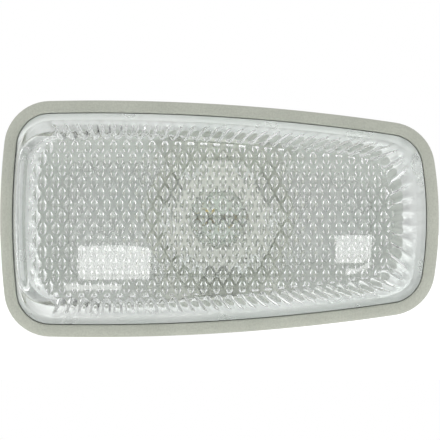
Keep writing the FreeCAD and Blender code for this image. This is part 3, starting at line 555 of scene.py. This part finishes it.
# Both ways the pillow falls with the square of the distance from its middle, and is nothing on the land
steepness = add(tree, MATH, {0: 2.0, 1: swell}, operation="DIVIDE")
fall = add(tree, VECTOR, {0: spread, "Scale": steepness}, operation="SCALE")
fall = add(tree, VECTOR, {0: fall, 1: fall}, operation="MULTIPLY")
fall = add(tree, VECTOR, {0: (1.0, 1.0, 1.0), 1: fall}, operation="SUBTRACT")
fall = add(tree, VECTOR, {0: fall, 1: (0.0, 0.0, 0.0)}, operation="MAXIMUM")
fall = add(tree, "ShaderNodeSeparateXYZ", {0: fall}).outputs
crown = add(tree, MATH, {0: fall["X"], 1: fall["Y"]}, operation="MULTIPLY")
crown = add(tree, MATH, {0: crown, 1: PILLOW_FULLNESS}, operation="POWER")
crown = add(tree, MATH, {0: crown, 1: given["Pillow Height"]}, operation="MULTIPLY")
spread = add(tree, "ShaderNodeSeparateXYZ", {0: spread}).outputs
across = add(tree, MATH, {0: spread["X"], 1: spread["Y"]}, operation="ADD")
across = add(tree, MATH, {0: across, 1: given["Half Width"]}, operation="MULTIPLY")
upright = add(tree, MATH, {0: spread["X"], 1: spread["Y"]}, operation="SUBTRACT")
upright = add(tree, MATH, {0: upright, 1: given["Half Height"]}, operation="MULTIPLY")
spot = add(tree, "ShaderNodeCombineXYZ", {"X": across, "Y": crown, "Z": upright})
pillow = add(tree, "GeometryNodeSetPosition", {"Geometry": patch, "Position": spot})
placed = add(tree, "GeometryNodeInstanceOnPoints", {"Points": given["Places"], "Instance": pillow})
joined = add(tree, "GeometryNodeRealizeInstances", {"Geometry": placed})
joined = add(tree, "GeometryNodeMergeByDistance", {"Geometry": joined, "Distance": 0.01 * MM})
joined = add(tree, "GeometryNodeSetMaterial", {"Geometry": joined, "Material": acrylic})
add(tree, "NodeGroupOutput", {0: joined})


def optics_mesh(places):
    """The pillows on a list of places, as one mesh."""
    mesh = bpy.data.meshes.new("optic_places")
    mesh.from_pydata(places, [], [])
    field = bpy.data.objects.new("optic_places", mesh)
    bpy.context.scene.collection.objects.link(field)
    modifier = field.modifiers.new("optics", "NODES")
    modifier.node_group = diamond_tree
    modifier[sockets["Half Width"]] = half_x * MM
    modifier[sockets["Half Height"]] = half_z * MM
    modifier[sockets["Pillow Height"]] = PILLOW_HEIGHT * MM
    modifier[sockets["Land Share"]] = LAND_SHARE
    depsgraph = bpy.context.evaluated_depsgraph_get()
    result = bpy.data.meshes.new_from_object(field.evaluated_get(depsgraph))
    bpy.data.objects.remove(field)
    return result


cells = bmesh.new()
cells.from_mesh(optics_mesh(cut_places))
level = FLANGE_FRONT - CAVITY_DEPTH
for a, b in zip(margin, margin[1:] + margin[:1]):
    bmesh.ops.bisect_plane(
        cells,
        geom=cells.verts[:] + cells.edges[:] + cells.faces[:],
        dist=0.0005 * MM,
        plane_co=Vector((a.x, level, a.y)) * MM,
        plane_no=Vector((b.y - a.y, 0, a.x - b.x)).normalized(),
        clear_outer=True,
    )
cells.from_mesh(optics_mesh(whole_places))
bmesh.ops.remove_doubles(cells, verts=cells.verts, dist=0.004 * MM)
for vertex in cells.verts:
    if vertex.is_boundary:
        vertex.co.y = level * MM
pattern = bpy.data.meshes.new("optics")
cells.to_mesh(pattern)
cells.free()

# The flat margin between the diamonds' edge and the scalloped foot of the walls closes the inner face
known = set(bm.edges)
bm.from_mesh(pattern)
edge_of_field = [edge for edge in bm.edges if edge not in known and edge.is_boundary]
rim = [bm.edges.get((rows[0][i], rows[0][(i + 1) % total])) for i in range(total)]
bmesh.ops.triangle_fill(bm, use_beauty=True, edges=edge_of_field + rim, normal=(0, 1, 0))
for edge in bm.edges:
    edge.smooth = edge.calc_face_angle(0.0) < math.radians(35)
for edge in edge_of_field + rim:
    edge.smooth = False
lens = finished("lens_moulding", bm, acrylic)
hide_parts("lens")
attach(lens, "lamp")

# Bulb holder: a twist-lock plug with three lugs, a connector socket and thumb wings at its back.
# Moulded in pale nylon; it is pushed into the bowl's bore and turned by a sixth of a turn.
nylon, tree = new_material("pale_nylon_moulding")
place = add(tree, "ShaderNodeTexCoord").outputs["Object"]
cloud = add(tree, NOISE, {"Vector": place, "Scale": 1 / (6 * MM), "Detail": 4.0})
grain = add(tree, NOISE, {"Vector": place, "Scale": 1 / (0.3 * MM), "Detail": 2.0})
tone = add(tree, RAMP, {"Fac": cloud}, stops=[(0.3, "#DEDDD6"), (0.7, "#E5E4DD")])
rough = add(tree, RAMP, {"Fac": cloud}, stops=[(0.3, 0.4), (0.7, 0.5)])
bump = add(tree, BUMP, {"Strength": 0.15, "Distance": 0.04 * MM, "Height": grain})
shader = add(
    tree,
    PRINCIPLED,
    {"Base Color": tone, "Roughness": rough, "IOR": 1.53, "Normal": bump},
)
add(tree, "ShaderNodeOutputMaterial", {"Surface": shader})
holder = smooth_copy("bulb_holder_moulding", "bulb_holder", [nylon])
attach(holder, "holder")

# Gasket: a flat ring between the holder's flange and the housing, which keeps water out of the lamp.
# Punched from pale silicone sheet and slipped over the barrel.
silicone, tree = new_material("pale_silicone_sheet")
place = add(tree, "ShaderNodeTexCoord").outputs["Object"]
cloud = add(tree, NOISE, {"Vector": place, "Scale": 1 / (1.5 * MM), "Detail": 3.0})
tone = add(tree, RAMP, {"Fac": cloud}, stops=[(0.35, "#CBCCC9"), (0.65, "#D6D7D4")])
bump = add(tree, BUMP, {"Strength": 0.2, "Distance": 0.05 * MM, "Height": cloud})
shader = add(
    tree,
    PRINCIPLED,
    {"Base Color": tone, "Roughness": 0.6, "IOR": 1.41, "Normal": bump},
)
add(tree, "ShaderNodeOutputMaterial", {"Surface": shader})
gasket = smooth_copy("holder_gasket", "holder_ring", [silicone])
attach(gasket, "holder")

# Contacts: two bent strips that press on the bulb's wires and end as blades in the connector socket.
# Stamped from brass sheet, bright, with the fine lines of rolling along them.
brass, tree = new_material("contact_brass_rolled")
place = add(tree, "ShaderNodeTexCoord").outputs["Object"]
stretched = add(tree, "ShaderNodeMapping", {"Vector": place, "Scale": (1.0, 0.05, 1.0)})
lines = add(tree, NOISE, {"Vector": stretched, "Scale": 1 / (0.15 * MM), "Detail": 2.0})
tone = add(tree, RAMP, {"Fac": lines}, stops=[(0.3, "#D3B262"), (0.7, "#E2C57B")])
rough = add(tree, RAMP, {"Fac": lines}, stops=[(0.3, 0.22), (0.7, 0.34)])
shader = add(tree, PRINCIPLED, {"Base Color": tone, "Metallic": 1.0, "Roughness": rough})
add(tree, "ShaderNodeOutputMaterial", {"Surface": shader})
for letter in "ab":
    contact = smooth_copy(f"contact_strip_{letter}", f"terminal_{letter}", [brass])
    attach(contact, "holder")

# Lead wires: two drawn wires that carry the filament and are folded up the bulb's wedge.
# Nickel-iron wire, dull grey, sealed into the glass.
drawn_wire, tree = new_material("nickel_iron_wire_drawn")
place = add(tree, "ShaderNodeTexCoord").outputs["Object"]
cloud = add(tree, NOISE, {"Vector": place, "Scale": 1 / (0.5 * MM), "Detail": 2.0})
tone = add(tree, RAMP, {"Fac": cloud}, stops=[(0.3, "#A5A19B"), (0.7, "#B9B5AE")])
shader = add(tree, PRINCIPLED, {"Base Color": tone, "Metallic": 1.0, "Roughness": 0.35})
add(tree, "ShaderNodeOutputMaterial", {"Surface": shader})
for letter in "ab":
    wire = smooth_copy(f"wire_{letter}", f"lead_wire_{letter}", [drawn_wire], sharp=40)
    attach(wire, "holder")

# Filament: a close coil between the two wires, which glows when the lamp is lit.
# Wound from tungsten wire, dark grey when cold.
FILAMENT_RADIUS = 0.22
FILAMENT_WIRE = 0.06
FILAMENT_TURNS = 18
tungsten, tree = new_material("tungsten_wound")
place = add(tree, "ShaderNodeTexCoord").outputs["Object"]
cloud = add(tree, NOISE, {"Vector": place, "Scale": 1 / (0.3 * MM), "Detail": 2.0})
tone = add(tree, RAMP, {"Fac": cloud}, stops=[(0.3, "#77777A"), (0.7, "#8C8C8E")])
shader = add(tree, PRINCIPLED, {"Base Color": tone, "Metallic": 1.0, "Roughness": 0.4})
add(tree, "ShaderNodeOutputMaterial", {"Surface": shader})
low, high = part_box("filament")
tree = bpy.data.node_groups.new("filament_coil", "GeometryNodeTree")
tree.is_modifier = True
tree.interface.new_socket("Start", in_out="INPUT", socket_type="NodeSocketGeometry")
sockets = {}
for name in ("Coil Radius", "Wire Radius", "Coil Length", "Turns"):
    socket = tree.interface.new_socket(name, in_out="INPUT", socket_type="NodeSocketFloat")
    sockets[name] = socket.identifier
tree.interface.new_socket("Coil", in_out="OUTPUT", socket_type="NodeSocketGeometry")
given = add(tree, "NodeGroupInput").outputs
spiral = add(
    tree,
    "GeometryNodeCurveSpiral",
    {
        "Resolution": 14,
        "Rotations": given["Turns"],
        "Start Radius": given["Coil Radius"],
        "End Radius": given["Coil Radius"],
        "Height": given["Coil Length"],
    },
)
section = add(
    tree,
    "GeometryNodeCurvePrimitiveCircle",
    {"Resolution": 8, "Radius": given["Wire Radius"]},
)
tube = add(
    tree,
    "GeometryNodeCurveToMesh",
    {"Curve": spiral, "Profile Curve": section, "Fill Caps": True},
)
turned = add(tree, "GeometryNodeTransform", {"Geometry": tube, "Rotation": (0, math.pi / 2, 0)})
smooth = add(tree, "GeometryNodeSetShadeSmooth", {"Geometry": turned})
coiled = add(tree, "GeometryNodeRealizeInstances", {"Geometry": smooth})
coiled = add(tree, "GeometryNodeSetMaterial", {"Geometry": coiled, "Material": tungsten})
add(tree, "NodeGroupOutput", {0: coiled})
start = bpy.data.objects.new("coil_start", bpy.data.meshes.new("coil_start"))
bpy.context.scene.collection.objects.link(start)
modifier = start.modifiers.new("coil", "NODES")
modifier.node_group = tree
modifier[sockets["Coil Radius"]] = (FILAMENT_RADIUS - FILAMENT_WIRE) * MM
modifier[sockets["Wire Radius"]] = FILAMENT_WIRE * MM
modifier[sockets["Coil Length"]] = (high.x - low.x) - 2 * FILAMENT_WIRE * MM
modifier[sockets["Turns"]] = float(FILAMENT_TURNS)
depsgraph = bpy.context.evaluated_depsgraph_get()
mesh = bpy.data.meshes.new_from_object(start.evaluated_get(depsgraph))
bpy.data.objects.remove(start)
coil_place = Vector((low.x + FILAMENT_WIRE * MM, (low.y + high.y) / 2, (low.z + high.z) / 2))
for vertex in mesh.vertices:
    vertex.co += coil_place
filament = bpy.data.objects.new("filament_coil", mesh)
bpy.context.scene.collection.objects.link(filament)
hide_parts("filament")
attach(filament, "holder")

# Bulb: a blown glass capsule, pinched flat at its foot into the wedge that stands in the holder.
# Clear soda-lime glass, drawn thin at the dome and thick at the pinch.
BULB_RADIUS = 5.1
GLASS = 0.6
BULB_TIP = -4.4
CAPSULE_END = 10.6
WEDGE_START = 14.2
BULB_FOOT = 22.4
WEDGE_HALF_WIDTH = 4.72
WEDGE_HALF_THICKNESS = 1.03
WEDGE_BEVEL = 0.3
WEDGE_POWER = 7
NECK_LENGTH = WEDGE_START - CAPSULE_END
NECK_STEPS = 6
HOLLOW_STEPS = 4
HOLLOW_END = 0.69
HOLLOW_SIDE = 0.9
HOLLOW_HALF_THICKNESS = 0.25
HOLLOW_PINCH = 1.5
DOME_STEPS = 8
AROUND = 48
glass, tree = new_material("soda_lime_glass_blown")
place = add(tree, "ShaderNodeTexCoord").outputs["Object"]
wave = add(tree, NOISE, {"Vector": place, "Scale": 1 / (4 * MM), "Detail": 1.0})
tone = add(tree, RAMP, {"Fac": wave}, stops=[(0.3, "#F6FAF8"), (0.7, "#FCFEFD")])
bump = add(tree, BUMP, {"Strength": 0.1, "Distance": 0.05 * MM, "Height": wave})
shader = add(
    tree,
    PRINCIPLED,
    {"Base Color": tone, "Roughness": 0.0, "IOR": 1.52, "Transmission Weight": 1.0, "Normal": bump},
)
add(tree, "ShaderNodeOutputMaterial", {"Surface": shader})


def flat_round(y, half_width, half_thickness, power):
    """A ring around the bulb between a circle and a flat, round-cornered section."""
    ring = []
    for step in range(AROUND):
        turn = 2 * math.pi * step / AROUND
        c = math.cos(turn)
        s = math.sin(turn)
        x = half_width * math.copysign(abs(c) ** (2 / power), c)
        z = half_thickness * math.copysign(abs(s) ** (2 / power), s)
        ring.append((x, y, z))
    return ring


def capsule(bm, rings, front, back):
    """Skins rings and closes both ends with a fan."""
    rows = rings_to_mesh(bm, rings, closed=False)
    for row, y in ((rows[0], front), (rows[-1], back)):
        tip = bm.verts.new(Vector((0, y, 0)) * MM)
        for i in range(AROUND):
            bm.faces.new((row[i], row[(i + 1) % AROUND], tip))


outer_rings = []
inner_rings = []
for step in range(1, DOME_STEPS + 1):
    turn = math.pi / 2 * step / DOME_STEPS
    y = BULB_TIP + BULB_RADIUS * (1 - math.cos(turn))
    radius = BULB_RADIUS * math.sin(turn)
    outer_rings.append(flat_round(y, radius, radius, 2))
    y = BULB_TIP + BULB_RADIUS - (BULB_RADIUS - GLASS) * math.cos(turn)
    radius = (BULB_RADIUS - GLASS) * math.sin(turn)
    inner_rings.append(flat_round(y, radius, radius, 2))
outer_rings.append(flat_round(CAPSULE_END, BULB_RADIUS, BULB_RADIUS, 2))
for step in range(1, NECK_STEPS + 1):
    t = step / NECK_STEPS
    y = CAPSULE_END + NECK_LENGTH * t
    width = BULB_RADIUS + (WEDGE_HALF_WIDTH - BULB_RADIUS) * t
    thickness = BULB_RADIUS + (WEDGE_HALF_THICKNESS - BULB_RADIUS) * t
    outer_rings.append(flat_round(y, width, thickness, 2 + (WEDGE_POWER - 2) * t))
for y, inset in ((BULB_FOOT - WEDGE_BEVEL, 0.0), (BULB_FOOT, WEDGE_BEVEL)):
    width = WEDGE_HALF_WIDTH - inset
    outer_rings.append(flat_round(y, width, WEDGE_HALF_THICKNESS - inset, WEDGE_POWER))
void = BULB_RADIUS - GLASS
inner_rings.append(flat_round(CAPSULE_END, void, void, 2))
for step in range(1, HOLLOW_STEPS + 1):
    t = step / NECK_STEPS
    y = CAPSULE_END + NECK_LENGTH * t
    width = void + (WEDGE_HALF_WIDTH - HOLLOW_SIDE - void) * t
    thickness = void + (HOLLOW_HALF_THICKNESS - void) * t * HOLLOW_PINCH
    inner_rings.append(flat_round(y, width, thickness, 2 + (WEDGE_POWER - 2) * t))
bm = bmesh.new()
capsule(bm, inner_rings, BULB_TIP + GLASS, CAPSULE_END + NECK_LENGTH * HOLLOW_END)
bmesh.ops.recalc_face_normals(bm, faces=bm.faces)
bmesh.ops.reverse_faces(bm, faces=bm.faces)
hollow = bpy.data.meshes.new("bulb_hollow")
bm.to_mesh(hollow)
bm.free()
bm = bmesh.new()
capsule(bm, outer_rings, BULB_TIP, BULB_FOOT)
bmesh.ops.recalc_face_normals(bm, faces=bm.faces)
bm.from_mesh(hollow)
mesh = bpy.data.meshes.new("bulb_capsule")
bm.to_mesh(mesh)
bm.free()
mesh.materials.append(glass)
mesh.shade_smooth()
mesh.set_sharp_from_angle(angle=math.radians(60))
bulb = bpy.data.objects.new("bulb_capsule", mesh)
bpy.context.scene.collection.objects.link(bulb)
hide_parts("bulb_glass")
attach(bulb, "holder")

# Studio: a white table under the lamp and white all around it, as in a product photograph.
# Light comes from every side, weaker from in front and behind; soft boxes show as patches on the lens.
FLOOR_LEVEL = -20.55
TABLE_FRONT = -120.0
TABLE_REACH = 3000.0
TABLE_GLOW = 0.78
TABLE_LIFT = 0.1
white_table, tree = new_material("white_table")
path = add(tree, "ShaderNodeLightPath").outputs
seen = add(tree, MATH, {0: path["Is Camera Ray"], 1: path["Is Glossy Ray"]}, operation="MAXIMUM")
seen = add(tree, MATH, {0: seen, 1: path["Is Transmission Ray"]}, operation="MAXIMUM")
matt = add(tree, "ShaderNodeBsdfDiffuse", {"Color": linear("#AAAAAA")})
glow = add(tree, MATH, {0: seen, 1: TABLE_LIFT, 2: TABLE_GLOW}, operation="MULTIPLY_ADD")
lift = add(tree, "ShaderNodeEmission", {"Color": linear("#FFFFFF"), "Strength": glow})
both = add(tree, "ShaderNodeAddShader", {0: matt, 1: lift})
add(tree, "ShaderNodeOutputMaterial", {"Surface": both})
mesh = bpy.data.meshes.new("table")
corners = []
for x, y in ((-1, TABLE_FRONT), (1, TABLE_FRONT), (1, TABLE_REACH), (-1, TABLE_REACH)):
    corners.append(Vector((x * TABLE_REACH, y, FLOOR_LEVEL)) * MM)
mesh.from_pydata(corners, [], [(0, 1, 2, 3)])
mesh.materials.append(white_table)
table = bpy.data.objects.new("table", mesh)
bpy.context.scene.collection.objects.link(table)

scene = bpy.context.scene
world = bpy.data.worlds.new("studio")
scene.world = world
world.use_nodes = True
tree = world.node_tree
tree.nodes.clear()
path = add(tree, "ShaderNodeLightPath").outputs
direction = add(tree, "ShaderNodeTexCoord").outputs["Generated"]
to_back = add(tree, "ShaderNodeSeparateXYZ", {0: direction}).outputs["Y"]
turned = add(tree, MATH, {0: to_back, 1: 0.5, 2: 0.5}, operation="MULTIPLY_ADD")
ROOM_TONES = [(0.0, 0.5), (0.01, 0.55), (0.1, 0.85), (0.5, 1.0), (0.75, 0.6)]
room = add(tree, RAMP, {"Fac": turned}, stops=ROOM_TONES)
white = add(
    tree,
    "ShaderNodeMix",
    {0: path["Is Camera Ray"], 6: room, 7: linear("#FFFFFF")},
    data_type="RGBA",
)
sky = add(tree, "ShaderNodeBackground", {"Color": white.outputs[2], "Strength": 1.0})
add(tree, "ShaderNodeOutputWorld", {"Surface": sky})

# Camera straight in front of the lens; its distance and lens give the photograph's frame
CAMERA_PLACE = Vector((0.087, -450.0, -0.21))
FOCAL_LENGTH = 211.4
SENSOR_WIDTH = 36.0
camera_data = bpy.data.cameras.new("camera")
camera_data.sensor_width = SENSOR_WIDTH
camera_data.lens = FOCAL_LENGTH
camera = bpy.data.objects.new("camera", camera_data)
scene.collection.objects.link(camera)
camera.location = CAMERA_PLACE * MM
camera.rotation_euler = (math.pi / 2, 0, 0)
scene.camera = camera

# Soft boxes, each with its place across and up, width and height
SOFT_BOX_DISTANCE = 600.0
SOFT_BOX_STRENGTH = 6.8
SOFT_BOXES = (
    ("soft_box_left", -85.0, -34.4, 57.0, 26.0),
    ("soft_box_left_low", -101.6, -55.7, 45.7, 8.2),
    ("soft_box_right", 111.5, -24.0, 37.5, 22.0),
    ("soft_box_right_low", 117.0, -44.2, 32.0, 9.8),
)
for name, x, z, width, height in SOFT_BOXES:
    light = bpy.data.lights.new(name, "AREA")
    light.shape = "RECTANGLE"
    light.size = width * MM
    light.size_y = height * MM
    light.energy = SOFT_BOX_STRENGTH * light.size * light.size_y * math.pi
    box = bpy.data.objects.new(name, light)
    scene.collection.objects.link(box)
    box.location = Vector((x, -SOFT_BOX_DISTANCE, z)) * MM
    box.rotation_euler = (math.pi / 2, 0, 0)
scene.view_layers[0].update()

scene.view_settings.view_transform = "Standard"
# Light reaches the bowl through two clear layers and many mirror bounces
scene.cycles.blur_glossy = 0.0
scene.cycles.max_bounces = 24
scene.cycles.glossy_bounces = 12
scene.cycles.transmission_bounces = 24
